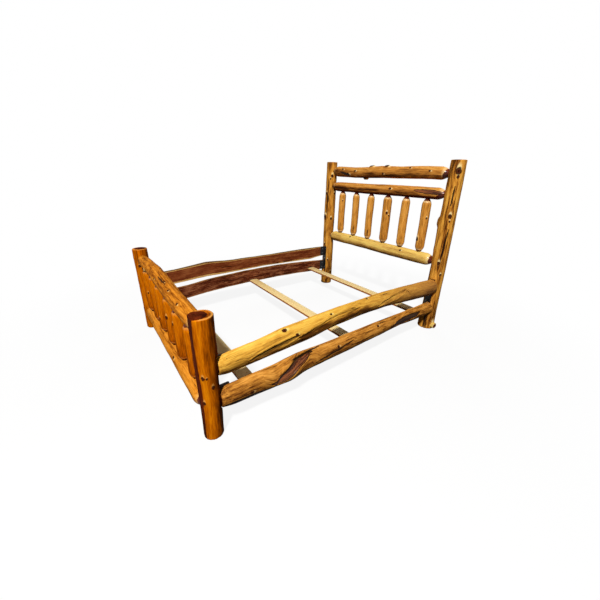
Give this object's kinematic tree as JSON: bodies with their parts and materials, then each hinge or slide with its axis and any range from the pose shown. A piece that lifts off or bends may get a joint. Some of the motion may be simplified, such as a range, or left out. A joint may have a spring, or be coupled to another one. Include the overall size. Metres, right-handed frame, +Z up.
{
  "type": "rustic log bed",
  "caption": "Rustic log bed: round-log posts and rails with tapered spindles at head and foot, half-log side rails hung on steel brackets, and sawn slats that carry the mattress.",
  "frame": {"origin": "on the floor under the middle of the bed's outline box", "axes": "+Y runs from the foot to the head, +X to the right of someone standing at the foot and facing the head, +Z up"},
  "size_m": [1.7198, 2.3356, 1.538],
  "materials": {
    "peeled_log": "glossy clear varnish over peeled cedar",
    "sawn_half_log": "glossy clear varnish over sawn and peeled cedar",
    "pine_board": "bare sawn pine",
    "black_steel": "satin black powder coat",
    "zinc_steel": "bright zinc plate"
  },
  "bodies": {
    "root": {"bracket_foot_left": "black_steel", "bracket_foot_right": "black_steel", "bracket_head_left": "black_steel", "bracket_head_right": "black_steel", "bracket_lag_screws": "zinc_steel", "foot_bottom_rail": "peeled_log", "foot_post_left": "peeled_log", "foot_post_right": "peeled_log", "foot_spindle_1": "peeled_log", "foot_spindle_2": "peeled_log", "foot_spindle_3": "peeled_log", "foot_spindle_4": "peeled_log", "foot_spindle_5": "peeled_log", "foot_spindle_6": "peeled_log", "foot_top_rail": "peeled_log", "head_bottom_rail": "peeled_log", "head_middle_rail": "peeled_log", "head_post_left": "peeled_log", "head_post_right": "peeled_log", "head_spindle_1": "peeled_log", "head_spindle_2": "peeled_log", "head_spindle_3": "peeled_log", "head_spindle_4": "peeled_log", "head_spindle_5": "peeled_log", "head_spindle_6": "peeled_log", "head_top_rail": "peeled_log", "rail_screws": "zinc_steel", "side_rail_lower_left": "sawn_half_log", "side_rail_lower_right": "sawn_half_log", "side_rail_upper_left": "sawn_half_log", "side_rail_upper_right": "sawn_half_log", "slat_angle_foot_left": "black_steel", "slat_angle_foot_right": "black_steel", "slat_angle_head_left": "black_steel", "slat_angle_head_right": "black_steel", "slat_angle_middle_left": "black_steel", "slat_angle_middle_right": "black_steel", "slat_foot": "pine_board", "slat_head": "pine_board", "slat_middle": "pine_board", "slat_screws": "zinc_steel"}
  },
  "joints": []
}
